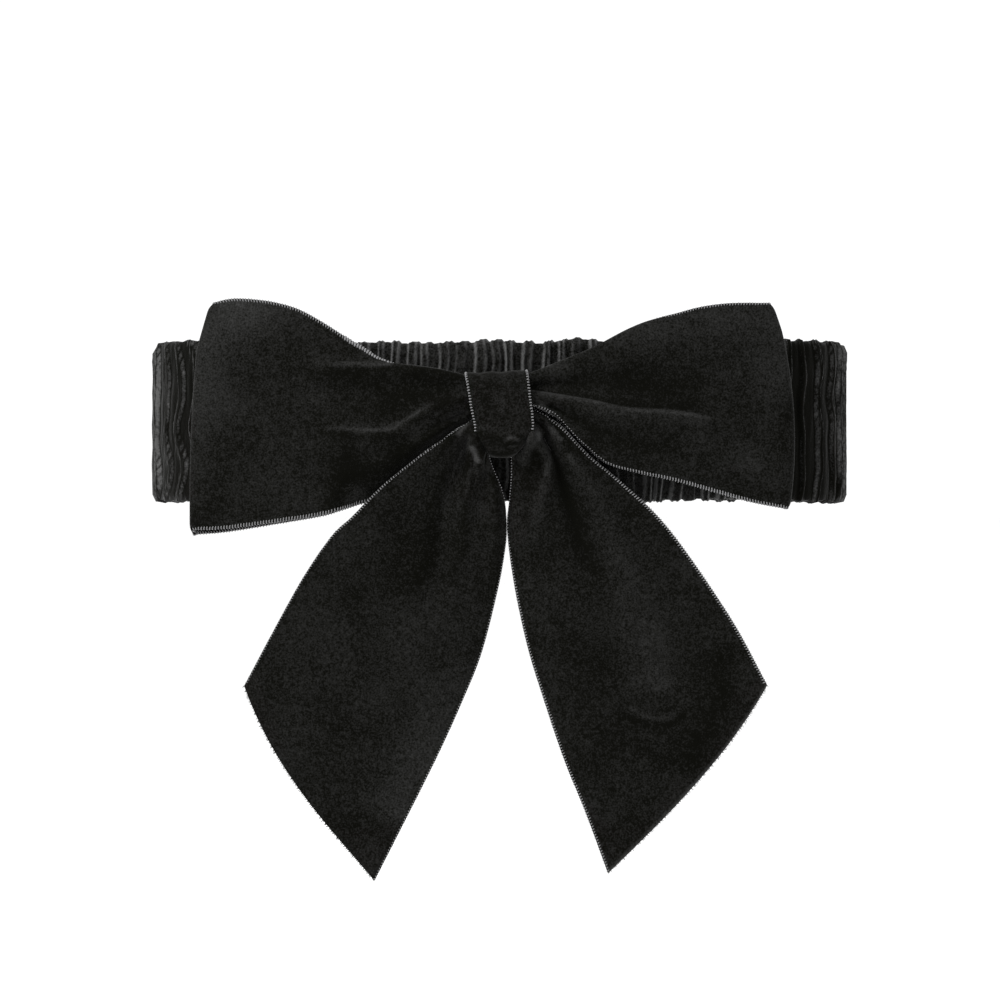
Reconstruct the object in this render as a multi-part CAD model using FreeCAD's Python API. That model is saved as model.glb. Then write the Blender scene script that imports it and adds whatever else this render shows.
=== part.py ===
import FreeCAD, Part
import math
import os

# Velvet bow on a ruched elastic headband, in millimetres.
# The origin is on the band's inner face, at mid-height, straight behind the bow's centre.
# The bow faces -Y, the wearer's head is on the +Y side, and the tails hang towards -Z.

# Band
BAND_HEIGHT = 38.0
BAND_THICKNESS = 5.0
BAND_WIDTH = 176.0
FRONT_RADIUS = 170.0
CORNER_RADIUS = 36.0
SIDE_RUN = 20.0
HEM_RADIUS = 2.0
ELASTIC_HEIGHT = 32.0
ELASTIC_THICKNESS = 1.6
LAP_LENGTH = 20.0
SEAM_HEIGHT = 1.2
SEAM_DEPTH = 0.5

# Bow ribbon
RIBBON_WIDTH = 50.0
RIBBON_THICKNESS = 1.2
LEFT_REACH = 73.8
RIGHT_REACH = 70.5
LOOP_DEPTH = 8.0
LOOP_SWEEP = 3.0
FOLD_RADIUS = 2.6
TAIL_LENGTH = 104.0
TAIL_CUT = 25.0
TAIL_CURL = 3.0
TAIL_DROP = 10.8
TAIL_HEAD = 4.0
LEFT_TAIL = {"lean": 27.6, "root_x": -3.0, "root_rise": 2.6, "hinge_run": 2.0, "spread": -1.0, "shorter": 0.0,
             "outer_pinch": 8.0, "inner_pinch": 6.0, "outer_flare": 48.0, "inner_flare": 65.0}
RIGHT_TAIL = {"lean": 26.9, "root_x": 4.0, "root_rise": 3.6, "hinge_run": 3.0, "spread": 1.3, "shorter": 2.0,
              "outer_pinch": 9.0, "inner_pinch": 3.0, "outer_flare": 60.0, "inner_flare": 85.0}

# Motions: the loops swing up and forwards, the tails lift forwards
LOOP_HINGE_RUN = 1.75
LOOP_HINGE_RISE = 4.1
LOOP_LIFT = 24.0
LOOP_LIFT_SLANT = 50.0
TAIL_LIFT = 45.0
SWEEP_STEP = 6.0

# Centre wrap and the gathers that it holds
WRAP_WIDTH = 15.5
WRAP_HEIGHT = 20.0
WRAP_DEPTH = 9.6
WRAP_THICKNESS = 1.2
WRAP_CORNER = 3.4
WRAP_RISE = 1.4
WRAP_TILT = 6.0
TAIL_GATHER_HEIGHT = 5.6
CINCH_WIDTH = 2.4
CINCH_THICKNESS = 0.6

# Threads
THREAD = 0.5
STITCH_LENGTH = 2.4
STITCH_PITCH = 3.4

# Clearances
BODY_GAP = 0.4
SEAT_GAP = 0.1
LEAF_GAP = 1.7
TAIL_SLOT = 0.35
TAIL_SLOT_X = 1.7

V = FreeCAD.Vector
ALONG_X = V(1, 0, 0)
ALONG_Y = V(0, 1, 0)
FAR = 400.0

band_front_y = -BAND_THICKNESS
corner_x = BAND_WIDTH / 2 - CORNER_RADIUS
front_angle = math.asin(corner_x / (FRONT_RADIUS - CORNER_RADIUS))
front_centre_y = FRONT_RADIUS - BAND_THICKNESS
corner_y = front_centre_y - (FRONT_RADIUS - CORNER_RADIUS) * math.cos(front_angle)
mid_y = corner_y + SIDE_RUN / 2
back_face_y = 2 * mid_y - band_front_y

wrap_back_y = band_front_y - SEAT_GAP
wrap_front_y = wrap_back_y - WRAP_DEPTH
wrap_mid_y = (wrap_back_y + wrap_front_y) / 2
loop_mid_y = band_front_y - BODY_GAP - LOOP_DEPTH / 2 - 0.2


def box(x0, x1, y0, y1, z0, z1):
    return Part.makeBox(x1 - x0, y1 - y0, z1 - z0, V(x0, y0, z0))


def spline(points):
    curve = Part.BSplineCurve()
    curve.interpolate(points)
    return curve.toShape()


def save(node, shape):
    shape.exportStep("parts/" + node + ".step")
    print(node, round(shape.Volume, 1), "mm3", len(shape.Solids), "solids", shape.isValid())


# ---------------------------------------------------------------- band

def oval_arc(centre_x, centre_y, radius, start, end):
    """Arc whose angles run from straight ahead, -Y, round by +X."""
    def at(angle):
        return V(centre_x + radius * math.sin(angle), centre_y - radius * math.cos(angle), 0)
    return Part.Arc(at(start), at((start + end) / 2), at(end)).toShape()


def oval_face(inset):
    """The band's oval plan, drawn in from its outer face by inset."""
    front = FRONT_RADIUS - inset
    corner = CORNER_RADIUS - inset
    side_x = corner_x + corner
    rear_y = corner_y + SIDE_RUN
    back_centre_y = 2 * mid_y - front_centre_y
    quarter = math.pi / 2
    edges = [
        oval_arc(0, front_centre_y, front, -front_angle, front_angle),
        oval_arc(corner_x, corner_y, corner, front_angle, quarter),
        Part.LineSegment(V(side_x, corner_y, 0), V(side_x, rear_y, 0)).toShape(),
        oval_arc(corner_x, rear_y, corner, quarter, math.pi - front_angle),
        oval_arc(0, back_centre_y, front, math.pi - front_angle, math.pi + front_angle),
        oval_arc(-corner_x, rear_y, corner, math.pi + front_angle, 3 * quarter),
        Part.LineSegment(V(-side_x, rear_y, 0), V(-side_x, corner_y, 0)).toShape(),
        oval_arc(-corner_x, corner_y, corner, 3 * quarter, 4 * quarter - front_angle),
    ]
    return Part.Face(Part.Wire(edges))


def oval_ring(outer_inset, inner_inset, height):
    ring = oval_face(outer_inset).cut(oval_face(inner_inset)).extrude(V(0, 0, height))
    ring.translate(V(0, 0, -height / 2))
    return ring


def level_edges(shape):
    """Edges that lie in the top or the bottom face of an upright ring."""
    box_z = (shape.BoundBox.ZMin, shape.BoundBox.ZMax)
    return [e for e in shape.Edges
            if e.BoundBox.ZLength < 0.01 and min(abs(e.BoundBox.ZMin - z) for z in box_z) < 0.01]


def lap_zone(extra):
    half = LAP_LENGTH / 2 + extra
    return box(-half, half, mid_y, FAR, -BAND_HEIGHT, BAND_HEIGHT)


def elastic_ring():
    """Woven elastic in the middle of the casing, twice as thick where its ends lap at the back."""
    middle = BAND_THICKNESS / 2
    half = ELASTIC_THICKNESS / 2
    strip = oval_ring(middle - half, middle + half, ELASTIC_HEIGHT)
    lap = oval_ring(middle - 2 * half, middle + 2 * half, ELASTIC_HEIGHT).common(lap_zone(0))
    return strip.fuse(lap).removeSplitter()


def casing_ring():
    """Velvet tube round the elastic, with a shallow groove for its long seam on the inner face."""
    tube = oval_ring(0, BAND_THICKNESS, BAND_HEIGHT)
    tube = tube.makeFillet(min(HEM_RADIUS, BAND_THICKNESS / 2 - 0.3), level_edges(tube))
    middle = BAND_THICKNESS / 2
    half = ELASTIC_THICKNESS / 2
    cavity_height = ELASTIC_HEIGHT + 2 * SEAT_GAP
    cavity = oval_ring(middle - half - SEAT_GAP, middle + half + SEAT_GAP, cavity_height)
    lap_cavity = oval_ring(middle - 2 * half - SEAT_GAP, middle + 2 * half + SEAT_GAP, cavity_height)
    groove = oval_ring(BAND_THICKNESS - SEAM_DEPTH, BAND_THICKNESS + 1, SEAM_HEIGHT)
    return tube.cut(cavity).cut(lap_cavity.common(lap_zone(SEAT_GAP))).cut(groove)


def seam_ring():
    """Thread of the casing's long seam, lying in its groove on the inner face."""
    return oval_ring(BAND_THICKNESS - SEAM_DEPTH, BAND_THICKNESS, SEAM_HEIGHT)


def front_half(shape):
    return shape.common(box(-FAR, FAR, -FAR, mid_y - BODY_GAP / 2, -FAR, FAR))


def back_half(shape):
    return shape.common(box(-FAR, FAR, mid_y + BODY_GAP / 2, FAR, -FAR, FAR))


def stitch_column(x, face_y, depth, height):
    """Upright row of short stitches that go right through a layer from its face."""
    count = int((height - STITCH_LENGTH) / STITCH_PITCH) + 1
    first = -(count - 1) * STITCH_PITCH / 2
    half = STITCH_LENGTH / 2
    return [box(x - THREAD / 2, x + THREAD / 2, face_y - depth, face_y + THREAD / 2,
                first + i * STITCH_PITCH - half, first + i * STITCH_PITCH + half)
            for i in range(count)]


def elastic_join_stitches():
    """Two rows of stitches through the lapped ends of the elastic."""
    face_y = back_face_y - BAND_THICKNESS / 2 + ELASTIC_THICKNESS
    depth = 2 * ELASTIC_THICKNESS
    columns = []
    for side in (-1, 1):
        columns += stitch_column(side * LAP_LENGTH / 4, face_y - THREAD / 2, depth - THREAD, ELASTIC_HEIGHT - 6)
    return Part.Compound(columns)


def casing_closing_stitches():
    """One row of stitches down the outer face, where the casing's ends are folded in and joined."""
    wall = BAND_THICKNESS / 2 - ELASTIC_THICKNESS - SEAT_GAP
    return Part.Compound(stitch_column(0, back_face_y, wall, BAND_HEIGHT - 2 * HEM_RADIUS - 3))


# ---------------------------------------------------------------- centre wrap

def tilt(shape):
    """Leans a shape with the wrap, about the wrap's own middle."""
    shape = shape.copy()
    shape.rotate(V(0, wrap_mid_y, WRAP_RISE), ALONG_Y, -WRAP_TILT)
    return shape


def wrap_body(inset, width):
    """Rounded block as wide as given, drawn in from the wrap's outer face by inset."""
    half_z = WRAP_HEIGHT / 2 - inset
    block = box(-width / 2, width / 2, wrap_front_y + inset, wrap_back_y - inset,
                WRAP_RISE - half_z, WRAP_RISE + half_z)
    lengthwise = [e for e in block.Edges if e.BoundBox.XLength > width / 2]
    return block.makeFillet(max(WRAP_CORNER - inset, 0.6), lengthwise)


def gather_split():
    """Height at which the tails' gather meets the loops' gather."""
    return WRAP_RISE - WRAP_HEIGHT / 2 + WRAP_THICKNESS + TAIL_GATHER_HEIGHT


def cinch_groove():
    inner = WRAP_THICKNESS + CINCH_THICKNESS
    return wrap_body(WRAP_THICKNESS, CINCH_WIDTH).cut(wrap_body(inner, CINCH_WIDTH + 1))


def centre_wrap():
    return tilt(wrap_body(0, WRAP_WIDTH).cut(wrap_body(WRAP_THICKNESS, WRAP_WIDTH + 1)))


def gathers():
    return wrap_body(WRAP_THICKNESS, WRAP_WIDTH).cut(cinch_groove())


def loop_gather():
    upper = box(-FAR, FAR, -FAR, FAR, gather_split(), FAR)
    return tilt(gathers().common(upper))


def tail_gather():
    lower = box(-FAR, FAR, -FAR, FAR, -FAR, gather_split())
    return tilt(gathers().common(lower))


def cinch_thread():
    return tilt(cinch_groove())


def wrap_stitches():
    """Short level stitches that close the wrap's lapped end on its back face."""
    count = 4
    pitch = WRAP_WIDTH / (count + 1)
    rows = []
    for i in range(count):
        x = (i - (count - 1) / 2) * pitch
        rows.append(box(x - THREAD, x + THREAD, wrap_back_y - WRAP_THICKNESS / 2, wrap_back_y,
                        WRAP_RISE + 2.0, WRAP_RISE + 2.0 + THREAD))
    return tilt(Part.Compound(rows))


def tack_stitches():
    """Bars of thread from the wrap's back through the casing's front wall, which hold the bow to the band."""
    depth = WRAP_THICKNESS / 2
    wall = BAND_THICKNESS / 2 - ELASTIC_THICKNESS / 2 - SEAT_GAP
    bars = []
    for side in (-1, 1):
        for level in (-0.3, 0.24):
            x = side * WRAP_WIDTH * 0.3
            z = WRAP_RISE + level * WRAP_HEIGHT
            bars.append(box(x - THREAD, x + THREAD, wrap_back_y - depth, band_front_y + wall - 0.1,
                            z - THREAD / 2, z + THREAD / 2))
    return Part.Compound(bars)


# ---------------------------------------------------------------- loops

def loop_plan(side, reach, inset):
    """Folded ribbon seen from above: front layer, outer fold and back layer, drawn in by inset."""
    pinch = LOOP_DEPTH * 0.32 - inset
    bulge = LOOP_DEPTH / 2 - inset
    fold = FOLD_RADIUS - inset
    start_x = 4.0 if inset == 0 else WRAP_WIDTH / 2 + 4.0
    tip_x = reach - inset
    tip_y = loop_mid_y + LOOP_SWEEP
    mid_x = (WRAP_WIDTH / 2 + reach) / 2

    def at(x, y):
        return V(side * x, y, 0)

    front = Part.Arc(at(start_x, loop_mid_y - pinch), at(mid_x, loop_mid_y - bulge),
                     at(reach - FOLD_RADIUS, tip_y - fold)).toShape()
    tip = Part.Arc(at(reach - FOLD_RADIUS, tip_y - fold), at(tip_x, tip_y),
                   at(reach - FOLD_RADIUS, tip_y + fold)).toShape()
    back = Part.Arc(at(reach - FOLD_RADIUS, tip_y + fold), at(mid_x, loop_mid_y + bulge),
                    at(start_x, loop_mid_y + pinch)).toShape()
    close = Part.LineSegment(at(start_x, loop_mid_y + pinch), at(start_x, loop_mid_y - pinch)).toShape()
    return Part.Face(Part.Wire([front, tip, back, close]))


def loop_outline(side, reach, top, fold_edge, bottom):
    """Loop seen from the front. Places are shares: across of the reach, up of the ribbon's width."""
    def at(share_x, share_z):
        return V(side * share_x * reach, -FAR / 2, share_z * RIBBON_WIDTH)

    top_points = [at(*p) for p in top]
    fold_points = [at(*p) for p in fold_edge]
    bottom_points = [at(*p) for p in bottom]
    edges = [
        spline(top_points),
        Part.LineSegment(top_points[-1], fold_points[0]).toShape(),
        Part.Arc(*fold_points).toShape(),
        Part.LineSegment(fold_points[-1], bottom_points[0]).toShape(),
        spline(bottom_points),
        Part.LineSegment(bottom_points[-1], top_points[0]).toShape(),
    ]
    return Part.Face(Part.Wire(edges)).extrude(V(0, FAR, 0))


def beside_wrap(side):
    start = WRAP_WIDTH / 2 + BODY_GAP
    block = box(start, FAR, -FAR, FAR, -FAR, FAR)
    if side < 0:
        block = block.mirror(V(0, 0, 0), ALONG_X)
    return tilt(block)


def clear_of_wrap(shape, hinge, axis, limit):
    """Cuts away all that would meet the wrap while a ribbon leaf turns from rest to its limit."""
    block = tilt(wrap_body(-BODY_GAP, WRAP_WIDTH + 2 * BODY_GAP))
    steps = math.ceil(limit / SWEEP_STEP)
    for i in range(steps + 1):
        turned = block.copy()
        turned.rotate(hinge, axis, -limit * i / steps)
        shape = shape.cut(turned)
    return shape


def loop(side, reach, top, fold_edge, bottom):
    walls = loop_plan(side, reach, 0).cut(loop_plan(side, reach, RIBBON_THICKNESS))
    walls = walls.extrude(V(0, 0, 2 * RIBBON_WIDTH))
    walls.translate(V(0, 0, -RIBBON_WIDTH))
    shape = walls.common(loop_outline(side, reach, top, fold_edge, bottom)).common(beside_wrap(side))
    hinge = V(side * (WRAP_WIDTH / 2 + LOOP_HINGE_RUN), loop_mid_y, WRAP_RISE + LOOP_HINGE_RISE)
    slant = math.radians(LOOP_LIFT_SLANT)
    axis = V(0, math.sin(slant), math.cos(slant)) * -side
    print("loop hinge", hinge, "axis", axis)
    return clear_of_wrap(shape.cut(tail_shape(side, LEAF_GAP)), hinge, axis, LOOP_LIFT)


def loop_left():
    top = [(0.04, 0.20), (0.21, 0.235), (0.36, 0.275), (0.49, 0.385), (0.65, 0.52), (0.80, 0.565), (0.92, 0.56)]
    fold_edge = [(0.945, 0.52), (0.99, 0.14), (1.0, -0.515)]
    bottom = [(0.995, -0.525), (0.73, -0.48), (0.45, -0.405), (0.28, -0.16), (0.04, 0.05)]
    return loop(-1, LEFT_REACH, top, fold_edge, bottom)


def loop_right():
    top = [(0.04, 0.20), (0.17, 0.265), (0.34, 0.36), (0.49, 0.465), (0.66, 0.525), (0.91, 0.55)]
    fold_edge = [(0.93, 0.51), (0.995, -0.02), (0.98, -0.40)]
    bottom = [(0.955, -0.41), (0.71, -0.335), (0.48, -0.25), (0.37, -0.21), (0.20, -0.03), (0.04, 0.10)]
    return loop(1, RIGHT_REACH, top, fold_edge, bottom)


# ---------------------------------------------------------------- tails

def tail_edge(pinch, half_width, flare, start, end):
    """(along, across) points of one selvedge, which opens from the pinch to its full half width over the flare."""
    shares = (start / flare, 0.1, 0.35, 0.7, 1.0)
    points = [(s * flare, pinch + (half_width - pinch) * math.sin(math.pi / 2 * s)) for s in shares]
    return points + [(end, half_width)]


def tail_lines(side):
    """Root point of a tail's middle line, its direction down the tail, and the direction out across it."""
    tail = LEFT_TAIL if side < 0 else RIGHT_TAIL
    angle = math.radians(tail["lean"])
    root = V(tail["root_x"], 0, WRAP_RISE - WRAP_HEIGHT / 2 + tail["root_rise"])
    along = V(side * math.sin(angle), 0, -math.cos(angle))
    across = V(side * math.cos(angle), 0, math.sin(angle))
    return root, along, across


def tail_shape(side, widen):
    """Front outline of a tail, from its pinched head to its slanting cut end, with its outer edge moved out."""
    tail = LEFT_TAIL if side < 0 else RIGHT_TAIL
    root, along, across = tail_lines(side)
    start = root - V(0, FAR / 2, 0)
    half = RIBBON_WIDTH / 2 + tail["spread"]
    head = tail["hinge_run"] - TAIL_HEAD
    outer = tail_edge(tail["outer_pinch"] + widen, half + widen, tail["outer_flare"], head, TAIL_LENGTH - TAIL_CUT)
    inner = tail_edge(tail["inner_pinch"], half, tail["inner_flare"], head, TAIL_LENGTH - tail["shorter"])
    outer_points = [start + along * s + across * w for s, w in outer]
    inner_points = [start + along * s - across * w for s, w in inner]
    edges = [
        spline(outer_points),
        Part.LineSegment(outer_points[-1], inner_points[-1]).toShape(),
        spline(inner_points),
        Part.LineSegment(inner_points[0], outer_points[0]).toShape(),
    ]
    return Part.Face(Part.Wire(edges)).extrude(V(0, FAR, 0))


def tail(side):
    """Hanging ribbon: flat behind the knot, then curling forwards a little towards its cut end."""
    top_z = WRAP_RISE + WRAP_HEIGHT / 2
    bend_z = -BAND_HEIGHT / 2
    end_z = -TAIL_LENGTH - TAIL_DROP
    face_y = loop_mid_y

    def at(y, z):
        return V(-FAR / 2, y, z)

    half = RIBBON_THICKNESS / 2
    mid_z = (bend_z + end_z) / 2
    front = Part.Arc(at(face_y - half, bend_z), at(face_y - half - TAIL_CURL / 4, mid_z),
                     at(face_y - half - TAIL_CURL, end_z)).toShape()
    back = Part.Arc(at(face_y + half - TAIL_CURL, end_z), at(face_y + half - TAIL_CURL / 4, mid_z),
                    at(face_y + half, bend_z)).toShape()
    edges = [
        Part.LineSegment(at(face_y - half, top_z), at(face_y - half, bend_z)).toShape(),
        front,
        Part.LineSegment(at(face_y - half - TAIL_CURL, end_z), at(face_y + half - TAIL_CURL, end_z)).toShape(),
        back,
        Part.LineSegment(at(face_y + half, bend_z), at(face_y + half, top_z)).toShape(),
        Part.LineSegment(at(face_y + half, top_z), at(face_y - half, top_z)).toShape(),
    ]
    strip = Part.Face(Part.Wire(edges)).extrude(V(FAR, 0, 0))
    slot_edge = TAIL_SLOT_X + side * TAIL_SLOT
    own_side = box(*sorted((slot_edge, side * FAR)), -FAR, FAR, -FAR, FAR)
    root, along, across = tail_lines(side)
    hinge = root + along * (LEFT_TAIL if side < 0 else RIGHT_TAIL)["hinge_run"] + V(0, face_y, 0)
    below = box(-FAR, FAR, -FAR, FAR, -FAR, hinge.z + TAIL_HEAD)
    shape = strip.common(tail_shape(side, 0)).common(own_side).common(below)
    axis = ALONG_X * -1
    print("tail hinge", hinge, "axis", axis)
    return clear_of_wrap(shape, hinge, axis, TAIL_LIFT)


def main():
    os.makedirs("parts", exist_ok=True)
    casing = casing_ring()
    elastic = elastic_ring()
    seam = seam_ring()
    save("casing_front", front_half(casing))
    save("casing_back", back_half(casing))
    save("elastic_front", front_half(elastic))
    save("elastic_back", back_half(elastic))
    save("casing_seam_front", front_half(seam))
    save("casing_seam_back", back_half(seam))
    save("elastic_join_stitches", elastic_join_stitches())
    save("casing_closing_stitches", casing_closing_stitches())
    save("centre_wrap", centre_wrap())
    save("loop_gather", loop_gather())
    save("tail_gather", tail_gather())
    save("cinch_thread", cinch_thread())
    save("wrap_stitches", wrap_stitches())
    save("tack_stitches", tack_stitches())
    save("loop_left", loop_left())
    save("loop_right", loop_right())
    save("tail_left", tail(-1))
    save("tail_right", tail(1))


main()
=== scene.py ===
import math
import random

import bmesh
import bpy
import numpy as np
from mathutils import Matrix, Vector


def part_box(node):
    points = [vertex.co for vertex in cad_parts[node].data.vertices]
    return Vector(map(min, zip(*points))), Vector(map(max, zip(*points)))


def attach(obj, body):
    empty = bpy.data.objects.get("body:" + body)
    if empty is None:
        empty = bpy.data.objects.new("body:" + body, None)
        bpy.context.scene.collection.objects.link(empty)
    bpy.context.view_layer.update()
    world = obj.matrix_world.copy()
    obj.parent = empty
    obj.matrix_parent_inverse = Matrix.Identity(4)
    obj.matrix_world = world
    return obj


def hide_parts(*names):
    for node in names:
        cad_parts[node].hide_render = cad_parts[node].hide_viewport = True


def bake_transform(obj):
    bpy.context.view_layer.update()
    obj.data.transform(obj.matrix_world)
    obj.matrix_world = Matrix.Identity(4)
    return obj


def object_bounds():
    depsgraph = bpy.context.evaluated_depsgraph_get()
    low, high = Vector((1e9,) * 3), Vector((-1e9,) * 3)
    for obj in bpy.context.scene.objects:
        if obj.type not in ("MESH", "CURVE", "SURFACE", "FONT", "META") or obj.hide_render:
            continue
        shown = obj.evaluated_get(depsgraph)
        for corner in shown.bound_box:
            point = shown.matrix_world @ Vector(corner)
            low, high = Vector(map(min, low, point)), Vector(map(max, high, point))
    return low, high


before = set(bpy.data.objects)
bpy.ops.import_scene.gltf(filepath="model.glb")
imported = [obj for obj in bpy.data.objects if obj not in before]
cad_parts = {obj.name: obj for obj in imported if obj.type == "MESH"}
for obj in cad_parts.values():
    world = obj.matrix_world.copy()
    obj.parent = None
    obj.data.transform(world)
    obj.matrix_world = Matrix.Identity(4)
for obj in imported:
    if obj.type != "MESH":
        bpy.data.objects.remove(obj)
cadLow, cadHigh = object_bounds()
random.seed(7)
mm = 0.001
perMetre = 1000        # texture scales count repeats in a metre

wrapLow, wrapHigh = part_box("centre_wrap")
bandLow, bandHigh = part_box("casing_front")
_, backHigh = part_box("casing_back")
bandFront = bandLow.y / mm          # front face of the band, straight behind the knot
bandBack = backHigh.y / mm
knotDepth = (wrapLow.y + wrapHigh.y) / 2 / mm
print("frame loaded", [round(c, 4) for c in cadLow], [round(c, 4) for c in cadHigh])


# curves and soft shapes, in millimetres

def smooth(t):
    t = np.clip(t, 0, 1)
    return t * t * (3 - 2 * t)


def smoothPath(points, samples=48):
    # Catmull-Rom line through a few chosen points, evenly spaced by length
    p = np.array(points, float)
    p = np.vstack([2 * p[0] - p[1], p, 2 * p[-1] - p[-2]])
    line = []
    for i in range(1, len(p) - 2):
        t = np.linspace(0, 1, 16, endpoint=False)[:, None]
        a, b, c, d = p[i - 1], p[i], p[i + 1], p[i + 2]
        line.append(0.5 * (2 * b + (c - a) * t + (2 * a - 5 * b + 4 * c - d) * t ** 2
                           + (3 * b - a - 3 * c + d) * t ** 3))
    line = np.vstack(line + [p[-2][None]])
    far = np.concatenate([[0], np.cumsum(np.linalg.norm(np.diff(line, axis=0), axis=1))])
    at = np.linspace(0, far[-1], samples)
    return np.stack([np.interp(at, far, line[:, k]) for k in range(line.shape[1])], axis=1)


def along(path, t):
    at = np.linspace(0, 1, len(path))
    return np.stack([np.interp(t, at, path[:, k]) for k in range(path.shape[1])], axis=-1)


def ripple(x, z, size, seed):
    # smooth wandering field, nearly always in -1..1, made of a few turned waves
    rng = np.random.RandomState(seed)
    total = np.zeros_like(np.asarray(x, float))
    for _ in range(7):
        turn, phase = rng.uniform(0, math.tau, 2)
        pitch = size * rng.uniform(0.7, 1.9)
        total = total + np.sin(math.tau * (x * math.cos(turn) + z * math.sin(turn)) / pitch + phase)
    return total / 3.2


def mark(path, high, wide, **more):
    # a fold or brush mark: a line on the cloth, with its height and width at both ends
    usual = {"fade": 0.3, "rise": 0.02, "kind": "soft", "over": 1}
    return {"path": path, "high": high, "wide": wide, **usual, **more}


def foldHeight(x, z, folds):
    total = np.zeros_like(x)
    for fold in folds:
        path = smoothPath(fold["path"], 26)
        best = np.full(x.shape, 1e9)
        where = np.zeros_like(x)
        side = np.zeros_like(x)
        for i in range(len(path) - 1):
            a, b = path[i], path[i + 1]
            d = b - a
            t = np.clip(((x - a[0]) * d[0] + (z - a[1]) * d[1]) / (d @ d), 0, 1)
            gapX, gapZ = x - a[0] - t * d[0], z - a[1] - t * d[1]
            near = gapX ** 2 + gapZ ** 2
            closer = near < best
            best = np.where(closer, near, best)
            where = np.where(closer, (i + t) / (len(path) - 1), where)
            side = np.where(closer, np.sign(d[0] * gapZ - d[1] * gapX), side)
        distance = np.sqrt(best)
        height, width = (a + (b - a) * where for a, b in (fold["high"], fold["wide"]))
        ends = smooth((1 - where) / fold["fade"]) * smooth((where + 0.02) / fold["rise"])
        if fold["kind"] == "soft":
            shape = np.exp(-(distance / width) ** 2)
        elif fold["kind"] == "crease":
            shape = np.exp(-distance / width)
        else:                       # lap: one side stands over the other, then sinks back
            signed = distance * side * fold["over"]
            shape = (0.5 + 0.5 * np.tanh(signed / width)) * np.exp(-(signed / fold["reach"]) ** 2)
        total = total + height * shape * ends
    return total


# cloth as grids that operators make and a shape function moves

def addObject(name, data):
    made = bpy.data.objects.new(name, data)
    bpy.context.scene.collection.objects.link(made)
    return made


def clothGrid(name, columns, rows):
    bm = bmesh.new()
    bm.loops.layers.uv.new("UVMap")
    bmesh.ops.create_grid(bm, x_segments=columns, y_segments=rows, size=0.5, calc_uvs=True)
    mesh = bpy.data.meshes.new(name)
    bm.to_mesh(mesh)
    bm.free()
    co = np.zeros(len(mesh.vertices) * 3)
    mesh.vertices.foreach_get("co", co)
    co = co.reshape(-1, 3)
    return mesh, co[:, 0] + 0.5, co[:, 1] * 2


def placeCloth(name, mesh, places, finish, thickness, uvSize):
    mesh.vertices.foreach_set("co", (places * mm).ravel())
    uv = mesh.uv_layers["UVMap"].data
    flat = np.zeros(len(uv) * 2)
    uv.foreach_get("uv", flat)
    flat = flat.reshape(-1, 2) * np.array(uvSize)
    uv.foreach_set("uv", flat.ravel())
    mesh.shade_smooth()
    mesh.materials.append(finish)
    piece = addObject(name, mesh)
    if thickness:
        solid = piece.modifiers.new("thickness", "SOLIDIFY")
        solid.thickness = thickness * mm
        solid.offset = 0
    return piece


def paint(piece, name, values):
    layer = piece.data.attributes.new(name, "FLOAT", "POINT")
    layer.data.foreach_set("value", np.asarray(values, np.float32))


def paintedFoldLightShade(places, u, v, near=2, wide=6):
    # painted highlight on ridges and painted shade down in folds, from how far each point stands out of its
    # neighbours
    order = np.lexsort((u, np.round(v, 6)))
    columns = len(np.unique(np.round(u, 6)))
    grid = places[order].reshape(-1, columns, 3)
    along1, across1 = np.gradient(grid, axis=1), np.gradient(grid, axis=0)
    normal = np.cross(along1, across1)
    normal = normal / np.maximum(np.linalg.norm(normal, axis=2), 1e-9)[:, :, None]
    total = np.zeros(grid.shape[:2])
    for reach, weight in ((near, 1.0), (wide, 0.5)):
        padded = np.pad(grid, ((reach, reach), (reach, reach), (0, 0)), mode="reflect",
                        reflect_type="odd")
        rows, cols = grid.shape[:2]
        around = sum(padded[reach + a:reach + a + rows, reach + b:reach + b + cols]
                     for a, b in ((reach, 0), (-reach, 0), (0, reach), (0, -reach))) / 4
        total += weight * ((grid - around) * normal).sum(axis=2)
    shade = np.zeros(len(places))
    shade[order] = total.ravel()
    return shade


def edgeLine(places, u, v, edge):
    # points of one long edge in order, and the points of the row beside it
    end = 1.0 if edge > 0 else -1.0
    levels = np.unique(np.round(v, 6))
    beside = levels[-2] if edge > 0 else levels[1]
    rim = np.where(np.abs(v - end) < 1e-5)[0]
    rim = rim[np.argsort(u[rim])]
    inner = np.where(np.abs(v - beside) < 1e-5)[0]
    inner = inner[np.argsort(u[inner])]
    return places[rim], places[inner]


# woven selvedges: a row of small slanting thread loops along each long edge of a ribbon

selvedgeWeave = {
    "pitch": 0.69, "reach": 0.60, "wide": 0.20, "high": 0.66, "uneven": (0.9, 1.1),
    "slant": 0.30, "stray": 0.12, "out": -0.04, "rooted": 0.4, "denser": (1.25, 1.9),
    "close": 0.36, "opensFrom": 20, "opensOver": 22,    # the loops are shorter close to the knot
}


def framed(spot, run, side, up, size):
    turn = Matrix((run, side, up)).transposed().to_4x4()
    return Matrix.Translation(Vector(spot) * mm) @ turn @ Matrix.Diagonal((*size, 1))


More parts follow.
